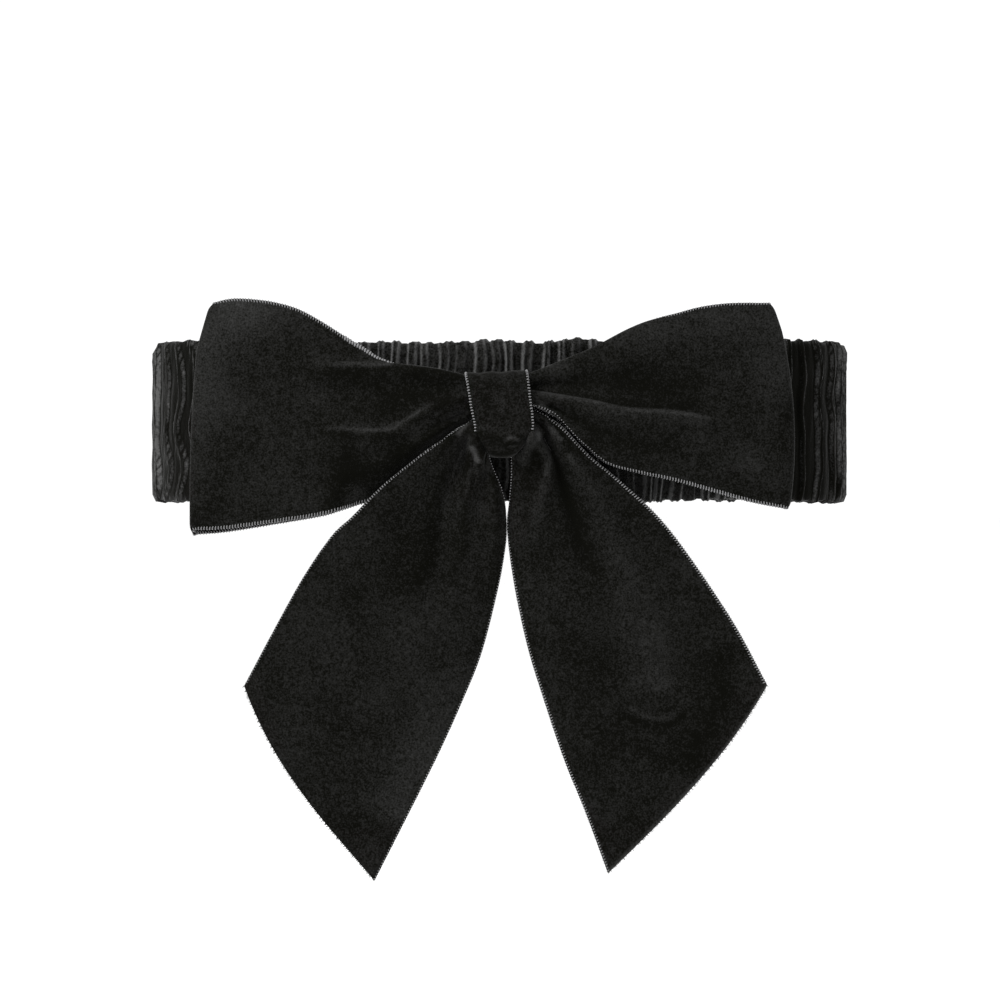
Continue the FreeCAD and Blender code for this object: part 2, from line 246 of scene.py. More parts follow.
def selvedgeLoops(rim, inner, weave):
    step = np.linalg.norm(np.diff(rim, axis=0), axis=1)
    far = np.concatenate([[0], np.cumsum(step)])

    def at(line, where):
        return Vector([np.interp(where, far, line[:, i]) for i in range(3)])

    loops = []
    for k in range(int(far[-1] / weave["pitch"])):
        where = (k + 0.5) * weave["pitch"]
        here = at(rim, where)
        run = (at(rim, where + 0.4) - at(rim, where - 0.4)).normalized()
        across = here - at(inner, where)
        across = (across - across.dot(run) * run).normalized()
        up = run.cross(across).normalized()
        lean = weave["slant"] + random.uniform(-weave["stray"], weave["stray"])
        arm = (across * math.cos(lean) + run * math.sin(lean)).normalized()
        opened = smooth((math.hypot(here.x, here.z) - weave["opensFrom"]) / weave["opensOver"])
        grown = weave["close"] + (1 - weave["close"]) * opened
        reach, wide = weave["reach"] * grown * random.uniform(*weave["uneven"]), weave["wide"]
        if "dense" in weave and here.z > 0 and weave["dense"][0] < here.x < weave["dense"][1]:
            reach, wide = reach * weave["denser"][0], wide * weave["denser"][1]
        size = (reach, wide, weave["high"] * random.uniform(0.95, 1.05))
        spot = here + across * (weave["out"] - weave["rooted"] * reach + random.uniform(-0.04, 0.04))
        loops.append(framed(spot, arm, up.cross(arm), up, size))
    return loops


def threadLoop(bm, place, around=6, rings=4):
    bmesh.ops.create_uvsphere(bm, u_segments=around, v_segments=rings, radius=mm, matrix=place)


def stitch(bm, place):
    threadLoop(bm, place, 8, 5)


def cutThread(bm, place):
    bmesh.ops.create_cone(bm, cap_ends=True, segments=4, radius1=mm, radius2=0.4 * mm, depth=mm,
                          matrix=place)


def meshPiece(name, bm, finish):
    mesh = bpy.data.meshes.new(name)
    bm.to_mesh(mesh)
    bm.free()
    mesh.shade_smooth()
    mesh.materials.append(finish)
    return addObject(name, mesh)


def scatter(name, places, shape, finish, batch=40):
    # many small shapes in one mesh, a batch at a time, because an operator slows down as its mesh grows
    whole = bmesh.new()
    for k in range(0, len(places), batch):
        few = bmesh.new()
        for place in places[k:k + batch]:
            shape(few, place)
        part = bpy.data.meshes.new("part")
        few.to_mesh(part)
        few.free()
        whole.from_mesh(part)
        bpy.data.meshes.remove(part)
    return meshPiece(name, whole, finish)


def makeSelvedge(name, places, u, v, weave):
    loops = [place for edge in (-1, 1) for place in selvedgeLoops(*edgeLine(places, u, v, edge), weave)]
    return scatter(name, loops, threadLoop, selvedgeThread)


# materials: one class for a socket in an expression, one for a finish and its nodes

class Wire:
    def __init__(self, finish, socket):
        self.finish, self.socket = finish, socket

    def maths(self, operation, a, b):
        return self.finish.node("ShaderNodeMath", {"operation": operation}, {0: a, 1: b})

    def __add__(self, other): return self.maths("ADD", self, other)
    def __radd__(self, other): return self.maths("ADD", other, self)
    def __sub__(self, other): return self.maths("SUBTRACT", self, other)
    def __rsub__(self, other): return self.maths("SUBTRACT", other, self)
    def __mul__(self, other): return self.maths("MULTIPLY", self, other)
    def __rmul__(self, other): return self.maths("MULTIPLY", other, self)


class Finish:
    def __init__(self, name, **constants):
        self.material = bpy.data.materials.new(name)
        self.material.use_nodes = True
        self.tree = self.material.node_tree
        self.shader = self.tree.nodes["Principled BSDF"]
        for socket, value in constants.items():
            self.shader.inputs[socket.replace("_", " ")].default_value = value

    def node(self, kind, settings=None, inputs=None, output=0):
        made = self.tree.nodes.new(kind)
        for key, value in (settings or {}).items():
            setattr(made, key, value)
        for key, value in (inputs or {}).items():
            if isinstance(value, Wire):
                self.tree.links.new(value.socket, made.inputs[key])
            elif value is not None:
                made.inputs[key].default_value = value
        return Wire(self, made.outputs[output])

    def feed(self, socket, wire):
        self.tree.links.new(wire.socket, self.shader.inputs[socket])

    def noise(self, where, scale, detail=2.0, roughness=0.5, distortion=0.0):
        return self.node("ShaderNodeTexNoise", {}, {"Vector": where, "Scale": scale, "Detail": detail,
                                                    "Roughness": roughness, "Distortion": distortion})

    def blend(self, share, dark, light):
        return self.node("ShaderNodeMix", {"data_type": "RGBA"}, {0: share, 6: dark, 7: light}, 2)

    def bump(self, height, strength, distance, under=None):
        return self.node("ShaderNodeBump", {}, {"Height": height, "Strength": strength,
                                                "Distance": distance, "Normal": under})


# sizes in millimetres; the pair of weights for painted highlights and shade is what a painted value adds
# alone and where a pile tip is light
velvetLook = {
    "deep": (0.0012, 0.0012, 0.0006, 1), "lit": (0.0290, 0.0290, 0.0285, 1), "specular": 0.03,
    "sheen": 0.07, "sheenRoughness": 0.37, "roughness": (0.95, 0.25), "pileGrainAndPaintedLight": 0.42, "tuft": 1.3,
    "patch": 15.0,
    "level": 0.111, "grain": 0.8, "mottle": 0.42, "patchShare": 0.75, "paintedLightShade": (0.08, 0.32), "fleck": 0.0,
}
bandLook = {
    **velvetLook, "lit": (0.063, 0.063, 0.0625, 1), "sheen": 0.12, "patch": 10.0,
    "level": 0.105, "grain": 0.6, "mottle": 0.3, "paintedLightShade": (0.45, 2.0), "fleck": 2.4,
}
elasticLook = {"dark": (0.008, 0.008, 0.008, 1), "light": (0.035, 0.035, 0.036, 1),
               "ribs": 0.45, "knit": 0.9}


def velvet(name, look):
    f = Finish(name, Specular_IOR_Level=look["specular"], Sheen_Weight=look["sheen"],
               Sheen_Roughness=look["sheenRoughness"])
    place = f.node("ShaderNodeTexCoord", output=3)
    pileGrainAndPaintedLight = f.noise(place, perMetre / look["pileGrainAndPaintedLight"], detail=1.0, roughness=0.6)
    tufts = f.noise(place, perMetre / look["tuft"], detail=2.0, roughness=0.6)
    patches = f.noise(place, perMetre / look["patch"], detail=3.0, roughness=0.55, distortion=0.6)
    # painted highlights and shade, kept on the mesh as one value, lighten and darken the base colour
    paintedValue = f.node("ShaderNodeAttribute", {"attribute_name": "pileGrainAndPaintedLight"}, {}, 2)
    share = look["level"] + (pileGrainAndPaintedLight - 0.5) * look["grain"] + (tufts - 0.5) * look["mottle"]
    paintedValue = paintedValue * (1 + look["fleck"] * (tufts - 0.5))
    share = share + (patches - 0.5) * look["mottle"] * look["patchShare"]
    share = share + paintedValue * (look["paintedLightShade"][0] + look["paintedLightShade"][1] * pileGrainAndPaintedLight)
    f.feed("Base Color", f.blend(share, look["deep"], look["lit"]))
    f.feed("Roughness", look["roughness"][0] - look["roughness"][1] * patches)
    nap = f.bump(pileGrainAndPaintedLight, strength=0.5, distance=0.15 * mm)
    f.feed("Normal", f.bump(tufts, strength=0.3, distance=0.3 * mm, under=nap))
    return f.material


def threadFinish(name, colour, roughness, twist):
    f = Finish(name, Specular_IOR_Level=0.45, Sheen_Weight=0.1)
    place = f.node("ShaderNodeTexCoord", output=3)
    fibre = f.noise(place, perMetre / twist, detail=2.0, roughness=0.6)
    worn = f.noise(place, perMetre / (twist * 20), detail=2.0, roughness=0.5)
    dark = tuple(c * 0.45 for c in colour[:3]) + (1,)
    f.feed("Base Color", f.blend(0.2 + fibre * 0.6 + worn * 0.4, dark, colour))
    f.feed("Roughness", roughness + 0.25 * fibre)
    f.feed("Normal", f.bump(fibre, strength=0.5, distance=0.06 * mm))
    return f.material


def elasticFinish(name, look):
    f = Finish(name, Specular_IOR_Level=0.3)
    uv = f.node("ShaderNodeTexCoord", output=2)
    ribs = f.node("ShaderNodeTexWave", {"bands_direction": "Y"},
                  {"Vector": uv, "Scale": look["ribs"], "Distortion": 0.4})
    knit = f.node("ShaderNodeTexWave", {"bands_direction": "X"},
                  {"Vector": uv, "Scale": look["knit"], "Distortion": 0.6})
    weave = ribs * 0.6 + knit * 0.4
    f.feed("Base Color", f.blend(weave, look["dark"], look["light"]))
    f.feed("Roughness", 0.85 - 0.2 * weave)
    f.feed("Normal", f.bump(weave, strength=0.6, distance=0.2 * mm))
    return f.material


ribbonVelvet = velvet("ribbon velvet", velvetLook)
bandVelvet = velvet("band velvet", bandLook)
selvedgeThread = threadFinish("selvedge thread", (0.15, 0.15, 0.153, 1), roughness=0.42, twist=0.25)
sewingThread = threadFinish("sewing thread", (0.030, 0.030, 0.031, 1), roughness=0.5, twist=0.3)
elasticWeave = elasticFinish("woven elastic", elasticLook)
print("materials ready")


# loops: one ribbon each, from the knot out along the front, round the fold and back behind

ribbonCloth = {"thick": 0.8, "wide": 50, "foldLight": 1.6, "shade": (-0.5, 0.9)}
loopCloth = {
    **ribbonCloth, "grid": (260, 110), "centre": -9.6, "sweep": 3.0, "crown": 0.18, "foldRound": 26,
    "corner": (0.90, 0.10), "waves": (0.3, 24, 3), "rise": 0.85, "backPuff": 0.92, "backPleat": 0.8,
    "clear": 0.9, "bandBow": 0.00275, "blend": (8.5, 40),
}
leftLoop = {
    **loopCloth,
    "top": [(-1, 8.9), (-8, 8.7), (-16, 10.1), (-23, 12.1), (-28, 14.1), (-32, 16.8), (-36, 19.2),
            (-42.9, 23.6), (-48.5, 26.5), (-54.8, 28.2), (-61.5, 28.9), (-65.5, 28.7), (-69, 27.8)],
    "ridge": [(-1, 9.1), (-8, 10.4), (-15.5, 12.0), (-25.7, 13.1), (-33.5, 13.2), (-43, 14.2), (-56, 15.5),
              (-71.6, 16.4)],
    "bottom": [(-1, 2.6), (-7.4, -1.0), (-12, -4.4), (-16.2, -7.6), (-20.7, -11.0), (-25.7, -14.9),
               (-30.5, -18.8), (-34, -20.0), (-38.4, -21.4), (-43, -22.6), (-53.6, -24.2), (-66, -25.8),
               (-73.8, -26.0)],
    "ridgeShare": 0.52, "tuck": 3.4, "tuckEnds": 0.42, "edgeBulge": 0.9, "cornerRound": 1.0,
    "backDrop": 1.2, "depth": (2.0, 3.9, 2.3), "length": 148, "under": (3.6, 0.50),
    "weave": {"dense": (-37, -25)},
    "pleats": [(2.0, 0.2, 0.3, 0.0), (6.0, 0.25, 0.16, 0.4)],
    "backPleats": [(2.5, 1.6, 0.55, 0.3), (5.5, 0.6, 0.3, 0)],
    "folds": [
        mark([(-7, 9.9), (-15.5, 11.9), (-25.7, 12.9), (-33.5, 12.8), (-42, 12.8), (-52, 13)], (1.6, 1.0),
             (0.3, 1.6), kind="lap", reach=6.0),
        mark([(-7, 7.6), (-18, 8.2), (-30, 7.0), (-44, 5.5), (-56, 4)], (-1.7, -0.9), (1.8, 6.0)),
        mark([(-10.5, 4.2), (-14.3, 3.6), (-18.9, 1.3), (-23.3, -1.6), (-25.8, -2.9), (-30, -3.2),
              (-46, -2.6)], (1.4, 1.2), (0.3, 0.6), kind="lap", reach=5.5, rise=0.25),
        mark([(-9, 4.6), (-14.8, 3.6), (-20.5, 0.6), (-26, -3.0), (-34, -4.0)], (0.8, 0.6), (1.0, 2.4)),
        mark([(-26, 13.6), (-36, 12.9), (-45, 13.2)], (0.9, 0.4), (0.5, 0.9), kind="crease"),
        mark([(-7, 3.4), (-13.0, 1.8), (-14.8, -1.5), (-17.5, -4.6)], (0.6, 0.5), (0.7, 1.2)),
        mark([(-9, 2.2), (-18, -2.2), (-27, -7.6), (-38, -11.5)], (-2.0, -0.7), (1.1, 5.0)),
        mark([(-12, -0.6), (-20, -6.8), (-31, -15.6)], (0.9, 0.5), (0.8, 2.2)),
    ],
    # painted highlights and shade: the lit outer left side and top, light lines along folds, darker valleys
    "paintedLightShade": [
        mark([(-63, 25), (-69, 16), (-71, 4), (-70, -16)], (1.1, 0.1), (9, 5), fade=0.2),
        mark([(-60, 30), (-46, 27), (-34, 22)], (0.6, 0.1), (6, 4), fade=0.2),
        mark([(-14, 8), (-28, 7), (-45, 6)], (-0.45, -0.4), (3.5, 7), fade=0.4),
        mark([(-24, -8), (-44, -14)], (-0.5, -0.4), (5, 8), fade=0.4),
        mark([(-17, 2.0), (-24, -2.6), (-32, -4.4), (-48, -5.0)], (0.5, 0.3), (1.6, 3), fade=0.4),
        mark([(-26, 13.1), (-45, 13.0)], (2.4, 1.0), (0.4, 0.8), fade=0.4),
        mark([(-15, 4.2), (-19, 2.1), (-23.4, -0.9), (-26, -2.1), (-31, -2.4), (-45, -1.8)], (1.0, 0.8),
             (0.4, 0.6), rise=0.2),
    ],
}
rightLoop = {
    **loopCloth,
    "top": [(1, 9.0), (6.4, 8.9), (11.7, 10.7), (17.1, 13.2), (22.6, 15.7), (30.2, 20.0), (36, 23.1),
            (42, 25.2), (47, 26.7), (52.6, 27.6), (58, 27.9), (64.8, 27.8)],
    "ridge": [(1, 9.3), (6.4, 10.6), (11.7, 12.6), (17.1, 14.8), (22.6, 17.1), (30.2, 21.1), (36, 23.4),
              (42, 24.6), (48, 24.0), (56, 22.6), (65.9, 21.2)],
    "bottom": [(1, 4.6), (8.3, 3.2), (12.7, 1.2), (16.1, -1.7), (19.3, -5.0), (23.6, -9.0), (27.0, -10.9),
               (33.6, -12.6), (42.1, -14.4), (50, -16.6), (60.7, -19.5), (69.0, -20.8)],
    "ridgeShare": 0.74, "tuck": 2.4, "tuckEnds": 0.62, "edgeBulge": 2.6, "cornerRound": 0.7,
    "backDrop": 0.25, "depth": (2.0, 3.9, 2.2), "length": 140, "under": (0.0, 0.3),
    "weave": {"reach": 0.48},
    "pleats": [(2.2, 0.25, 0.3, 0.5), (6.0, 0.25, 0.16, 0.1)],
    "backPleats": [(2.5, 2.0, 0.6, 0.1), (5.5, 0.7, 0.3, 0)],
    "folds": [
        mark([(6, 6.8), (13.3, 5.7), (22.9, 4.1), (29.3, 2.6), (42.1, 1.9), (54, -0.2)], (1.7, 1.1),
             (0.22, 0.4), kind="lap", over=-1, reach=6.0, fade=0.2),
        mark([(6, 9.2), (14, 10.6), (22, 12.6), (32, 15)], (0.9, 0.2), (1.3, 4.0)),
        mark([(8, 8.2), (18, 8.4), (32, 9.0), (50, 7.5)], (-1.8, -1.1), (1.6, 7.5), fade=0.4),
        mark([(12, 3.2), (22, -1.5), (34, -5.5), (48, -8)], (-1.6, -0.6), (1.1, 5.0)),
        mark([(9, 2.9), (15, -0.4), (22, -5.6)], (0.9, 0.5), (0.7, 1.4)),
    ],
    # painted highlights and shade: a light line under the crease, darker valleys, a lighter outer end
    "paintedLightShade": [
        mark([(10, 6.2), (22.9, 4.0), (31.9, 2.1), (41, 1.7), (53, -0.2)], (1.1, 1.3), (0.3, 0.3),
             fade=0.2),
        mark([(18, 9), (32, 8), (54, 6)], (-0.45, -0.5), (5, 8)),
        mark([(34, 22), (48, 24), (64, 22), (66, 2)], (0.75, 0.5), (5.5, 8), fade=0.2),
        mark([(12, 12.4), (18, 12)], (0.6, 0.3), (1.6, 1.8)),
        mark([(24, -4), (42, -9)], (-0.35, -0.25), (5, 6), fade=0.4),
        mark([(50, -8), (64, -12)], (0.15, 0.2), (5, 6), fade=0.2),
    ],
}


def pleats(v, out, spec):
    # upright waves of the squeezed ribbon close to the knot; they open out and fade along the loop
    wave = np.zeros_like(v)
    for count, high, ends, phase in spec:
        crest = np.cos(math.pi * (count * v + phase + 0.35 * out))
        wave = wave + high * (2 * np.abs(0.5 + 0.5 * crest) ** 1.3 - 1) * (1 - smooth(out / ends))
    return wave


def loopPlaces(spec, u, v):
    side = math.copysign(1, spec["top"][-1][0])
    front = u < 0.5
    turn = np.where(front, u, 1 - u) * 2
    out = np.sin(turn * math.pi / 2)
    top, ridge, bottom = (along(smoothPath(spec[k], 160), out) for k in ("top", "ridge", "bottom"))
    drop = np.array([0, spec["backDrop"]])
    bottom = bottom + np.where(front, 0, -1)[:, None] * drop * (out ** 2.5)[:, None]
    split = spec["ridgeShare"]
    low = np.clip((v + 1) / (split + 1), 0, 1)[:, None]
    high = np.clip((v - split) / (1 - split), 0, 1)[:, None]
    flat = bottom + (ridge - bottom) * low + (top - ridge) * high
    x, z = flat[:, 0], flat[:, 1]
    x = x + side * spec["edgeBulge"] * (1 - v ** 2) * smooth((out - 0.6) / 0.4)
    cornerFrom, cornerOver = spec["corner"]
    corner = np.clip((np.abs(v) - cornerFrom) / cornerOver, 0, 1) ** 3
    corner = corner * smooth((out - cornerFrom) / cornerOver)
    x = x - side * corner * spec["cornerRound"]
    near, middle, far = spec["depth"]
    puff = near + (middle - near) * smooth(out / 0.45) + (far - middle) * smooth((out - 0.45) / 0.5)
    puff = puff * (1 - spec["crown"] * v ** 2) * np.sqrt(np.clip(1 - out ** spec["foldRound"], 0, 1))
    tuck = spec["tuck"] * high[:, 0] * (1 - smooth(out / spec["tuckEnds"]))
    under, underEnds = spec["under"]
    tuck = tuck + under * smooth((-0.62 - v) / 0.36) * (1 - smooth((out - underEnds) / 0.08))
    rise = foldHeight(x, z, spec["folds"]) * (1 - smooth((out - 0.8) / 0.2))
    waveHigh, waveSize, waveSeed = spec["waves"]
    wave = waveHigh * ripple(x, z, waveSize, waveSeed)
    rise = rise + wave * smooth(out / 0.4) * (1 - smooth((out - 0.85) / 0.15))
    rise = rise + pleats(v, out, spec["pleats"])
    middleY = spec["centre"] + spec["sweep"] * out ** 2
    y = np.where(front, middleY - puff - rise * spec["rise"] + tuck,
                 middleY + puff * spec["backPuff"] + spec["backPleat"] * pleats(v, out, spec["backPleats"]))
    y = np.minimum(y, bandFront - spec["clear"] + spec["bandBow"] * x ** 2)     # stays off the band
    return np.stack([x, y, z], axis=1)


def makeLoop(name, spec, node):
    mesh, u, v = clothGrid(name, *spec["grid"])
    places = loopPlaces(spec, u, v)
    piece = placeCloth(name, mesh, places, ribbonVelvet, spec["thick"], (spec["length"], spec["wide"]))
    # painted light and shade: highlight and shade marks on the front, lighter ridges and darker folds
    tone = foldHeight(places[:, 0], places[:, 2], spec["paintedLightShade"]) * (u < 0.56)      # marks on the front only
    paint(piece, "pileGrainAndPaintedLight", tone + np.clip(paintedFoldLightShade(places, u, v) * spec["foldLight"], *spec["shade"]))
    rim = makeSelvedge(name + "_selvedge", places, u, v, {**selvedgeWeave, **spec["weave"]})
    side = math.copysign(1, spec["top"][-1][0])
    start, end = ((side * reach * mm, 0, 0) for reach in spec["blend"])
    for part, slot in ((piece, "ribbon_velvet"), (rim, "selvedge")):
        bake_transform(part)
    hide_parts(node)
    spec["length"] * mm
    print(name, "made")


makeLoop("left_loop_ribbon", leftLoop, "loop_left")
makeLoop("right_loop_ribbon", rightLoop, "loop_right")


# tails: from their pinch under the wrap to a slanting cut, in (along, across) of each tail's own line

tailCloth = {
    **ribbonCloth, "grid": (220, 100), "length": 118, "start": -7.5, "crowd": 1.15, "edgeCurl": (0.6, 2.2),
    "waves": (0.35, 38, 5), "rise": 0.8, "cutFrom": 0.994, "cutOver": 0.004,
    "frays": 2, "frayLong": (0.3, 0.8), "frayThick": 0.1,
}
leftTail = {
    **tailCloth, "side": -1, "lean": 27.6, "root": (-3.0, -6.0),
    "outer": [(-8, 3.4), (-2.9, 6.4), (0, 8.2), (5, 10.6), (10, 13.1), (20, 17.5), (30, 20.6), (36.5, 22.9),
              (48, 24.3), (62, 24.7), (77.7, 24.8)],
    "inner": [(-8, 0.6), (0, 0.7), (2.7, 1.6), (5.5, 4.9), (9.7, 9.4), (15.2, 12.9), (19.4, 14.8),
              (30, 18.2), (45, 21.7), (58, 23.0), (70, 23.7), (84, 24.0), (104.2, 24.2)],
    "depth": [(-8, -9.2), (0, -10.6), (14, -9.8), (30, -8.6), (60, -8.8), (90, -10.6), (110, -12.4)],
    "teeth": 0.34, "cutLight": 0.0, "cutBulge": 4.2, "lead": 3.0,
    "pleats": [(3.2, 0.45, 15, 0.2), (5.0, 0.18, 9, 0.6)],
    "folds": [
        mark([(-6.6, -1.4), (-8.4, -2.8), (-11.5, -4.6), (-16, -9)], (1.7, 0.7), (0.8, 1.6)),
        mark([(-6.5, -0.2), (-5.8, -3), (-5.2, -6), (-4.7, -9), (-4.7, -14)], (6.6, 0.8), (1.6, 1.3),
             rise=0.3),
        mark([(-6.6, -6), (-7.3, -10), (-7.9, -17.9), (-8.6, -24), (-10, -40)], (1.8, 0.6), (0.9, 2.6)),
        mark([(-8.2, -5.0), (-10.7, -11.0), (-13, -20), (-15.0, -38), (-19, -52)], (-2.4, -0.8),
             (1.1, 4.2)),
        mark([(-3.2, -9), (-4.2, -16), (-4.6, -26)], (-1.6, -0.5), (0.9, 1.8), rise=0.3),
        mark([(-1.6, -9.5), (-1.0, -18), (-0.8, -30), (-3, -44)], (1.1, 0.5), (0.9, 2.0), rise=0.2),
        mark([(-12, -5.6), (-19, -13), (-28, -24), (-38, -40)], (1.2, 0.4), (1.3, 6.0)),
    ],
    # painted highlights and shade: bright patches and lines on the pleats, darker valleys, a lighter lower
    # tail
    "paintedLightShade": [
        mark([(-6.6, -5.8), (-5.7, -8.2), (-4.7, -10.5)], (4.8, 4.8), (0.6, 0.5), fade=0.2, rise=0.2),
        mark([(-7.3, -0.9), (-8.8, -2.3), (-10.5, -4.1)], (2.6, 2.6), (0.35, 0.5), fade=0.2, rise=0.2),
        mark([(-7.1, -11), (-7.5, -14), (-8.0, -18.5)], (0.9, 1.1), (0.35, 0.5), rise=0.2),
        mark([(-12, -14), (-15, -34), (-20, -50)], (-0.25, -0.2), (3, 6), fade=0.4),
        mark([(-40, -45), (-42, -80)], (-0.1, 0.1), (10, 12), fade=0.2),
        mark([(-8, -60), (-28, -98)], (0.35, 0.85), (5, 8), fade=0.15),
    ],
}
rightTail = {
    **tailCloth, "side": 1, "lean": 26.9, "root": (4.0, -5.0),
    "outer": [(-8, 5.0), (-4.2, 7.3), (-0.6, 9.8), (3.1, 11.4), (11.4, 13.9), (20, 17.7), (35, 22.8),
              (60, 26.3), (78.9, 26.9)],
    "inner": [(-8, 1.4), (0, 1.9), (2.85, 2.6), (6.15, 4.3), (11.9, 7.8), (18, 11.5), (30, 15.8),
              (45, 19.8), (58, 22.1), (73, 24.3), (86, 25.4), (101.5, 27.2)],
    "depth": [(-8, -9.2), (0, -10.6), (14, -9.8), (30, -8.6), (60, -8.8), (90, -10.4), (110, -12.0)],
    "teeth": 0.58, "cutLight": 4.0, "cutBulge": 3.0, "lead": 0.6,
    "pleats": [(3.0, 0.45, 15, 0.7), (5.0, 0.18, 9, 0.2)],
    "folds": [
        mark([(7.6, 1.4), (10.8, -0.4), (13.8, -5.0), (17, -11)], (1.9, 0.6), (0.8, 1.7)),
        mark([(8.4, -0.6), (7.8, -3), (7.0, -5.5), (6.0, -8), (5.6, -13)], (6.6, 0.8), (1.6, 1.3),
             rise=0.3),
        mark([(7.4, -5.2), (11.2, -8.4), (11.0, -14), (9.6, -20), (9, -30)], (1.8, 0.5), (0.9, 2.4)),
        mark([(10.6, -4.6), (13.4, -11), (15.6, -17), (20.5, -32), (27, -46)], (-2.6, -0.8), (1.0, 4.6)),
        mark([(5.4, -10), (6.6, -16), (6.4, -28)], (-1.1, -0.4), (1.0, 1.8), rise=0.4),
        mark([(17, -9.4), (24, -20), (32, -43), (37, -62)], (1.5, 0.8), (1.6, 7.5)),
        mark([(12.5, 0.4), (20, -6.4), (30, -15), (40, -27)], (0.7, 0.4), (0.7, 2.4)),
    ],
    # painted highlights and shade: bright lines on the pleats by the knot, darker valleys, a light ring and
    # patches lower down
    "paintedLightShade": [
        mark([(8.8, -2.8), (9.0, -5.4)], (2.6, 2.6), (0.5, 0.5), fade=0.2, rise=0.2),
        mark([(11.6, -1.2), (15.2, -5.6)], (1.8, 1.8), (0.4, 0.5), fade=0.2, rise=0.2),
        mark([(11.8, -8.0), (11.4, -11), (10.7, -14)], (0.9, 0.9), (0.35, 0.4), rise=0.2),
        mark([(13, -11), (18, -26), (22, -40)], (-0.6, -0.4), (3, 6), fade=0.4),
        mark([(26, -22), (33, -45), (37, -66)], (0.06, 0.15), (6, 9), fade=0.12),
        mark([(16, -46), (27, -86)], (-0.15, -0.3), (6, 9), fade=0.2),
        mark([(46, -52), (52, -66), (40, -86)], (-0.35, -0.45), (6, 8)),
        mark([(36, -54), (37.5, -65)], (0.3, 0.5), (4.5, 4.5), fade=0.1),
        mark([(31, -68.5), (35, -70.8), (40, -70.8), (43.5, -67.5), (44, -60)], (0.7, 0.3), (0.5, 0.7)),
        mark([(30, -70.5), (35, -72.6), (41, -72.4), (45.5, -68)], (-0.5, -0.5), (0.9, 0.9), fade=0.2),
    ],
}


def tailPlaces(spec, t, v):
    lean = math.radians(spec["lean"])
    line = np.array([spec["side"] * math.sin(lean), -math.cos(lean)])
    over = np.array([spec["side"] * math.cos(lean), math.sin(lean)])
    outer, inner = smoothPath(spec["outer"], 120), smoothPath(spec["inner"], 120)
    cut = inner[-1, 0] + (outer[-1, 0] - inner[-1, 0]) * (v + 1) / 2
    cut = cut + spec["cutBulge"] * (1 - v ** 2) * (0.75 + 0.35 * v)     # the cut runs a little round
    s = spec["start"] + (cut - spec["start"]) * t ** spec["crowd"]
    w = np.where(v > 0, np.interp(s, *outer.T), np.interp(s, *inner.T)) * v
    flat = np.array(spec["root"]) + s[:, None] * line + w[:, None] * over
    x, z = flat[:, 0], flat[:, 1]
    depth = smoothPath(spec["depth"], 80)
    y = np.interp(s, *depth.T)
    inward = np.clip(-v, 0, 1) ** 3 * spec["edgeCurl"][1] * smooth(s / 14) * (1 - smooth((s - 40) / 45))
    outward = np.clip(v, 0, 1) ** 3 * spec["edgeCurl"][0] * smooth((s - 30) / 30)
    ahead = np.clip(v, 0, 1) ** 2 * spec["lead"] * smooth((s + 4) / 8) * (1 - smooth((s - 24) / 18))
    outward = outward - ahead
    rise = foldHeight(x, z, spec["folds"]) * smooth((s + 7) / 2.5)
    waveHigh, waveSize, waveSeed = spec["waves"]
    rise = rise + waveHigh * ripple(x, z, waveSize, waveSeed + spec["side"]) * smooth(s / 40)
    for count, high, ends, phase in spec["pleats"]:
        rise = rise + pleats(v, np.clip(s, 0, None) / ends, [(count, high, 1, phase)])
    return np.stack([x, y + inward + outward - rise * spec["rise"], z], axis=1)


def frayPlaces(spec, line, out):
    # cut threads that stand out of a ribbon's cut end
    places = []
    for k in range(len(line) - 1):
        for _ in range(spec["frays"]):
            base = Vector(line[k] + (line[k + 1] - line[k]) * random.random())
            away = (Vector(out) + Vector([random.uniform(-0.5, 0.5) for _ in range(3)])).normalized()
            long, thick = random.uniform(*spec["frayLong"]), spec["frayThick"]
            side = away.orthogonal().normalized()
            size = (thick, thick, long)
            places.append(framed(base + away * long * 0.35, side, away.cross(side), away, size))
    return places


def makeTail(name, spec, node):
    mesh, t, v = clothGrid(name, *spec["grid"])
    places = tailPlaces(spec, t, v)
    piece = placeCloth(name, mesh, places, ribbonVelvet, spec["thick"], (spec["length"], spec["wide"]))
    # painted highlight along the cut end, with the tail's painted highlights and shade and fold paint
    cutLight = spec["cutLight"] * smooth((t - spec["cutFrom"]) / spec["cutOver"])
    tone = foldHeight(places[:, 0], places[:, 2], spec["paintedLightShade"]) + cutLight
    paint(piece, "pileGrainAndPaintedLight", tone + np.clip(paintedFoldLightShade(places, t, v) * spec["foldLight"], *spec["shade"]))
    rim = makeSelvedge(name + "_selvedge", places, t, v, {**selvedgeWeave, "reach": spec["teeth"]})
    last = np.where(t > 1 - 1e-5)[0]
    end = places[last[np.argsort(v[last])]]
    run = end[-1] - end[0]
    out = np.array([-run[2], 0, run[0]]) / np.linalg.norm(run)
    cuts = frayPlaces(spec, end, out * -np.sign(out[2]))
    frays = scatter(name + "_cut_threads", cuts, cutThread, ribbonVelvet)
    paint(frays, "pileGrainAndPaintedLight", np.zeros(len(frays.data.vertices)))
    lean = math.radians(spec["lean"])
    line = Vector((spec["side"] * math.sin(lean), 0, -math.cos(lean)))
    for part, slot in ((piece, "ribbon_velvet"), (rim, "selvedge"), (frays, "ribbon_velvet")):
        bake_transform(part)
    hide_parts(node)
    spec["length"] * mm
    print(name, "made")


makeTail("left_tail_ribbon", leftTail, "tail_left")
makeTail("right_tail_ribbon", rightTail, "tail_right")


# centre wrap: a narrow ribbon round the gathers, lapped at its back

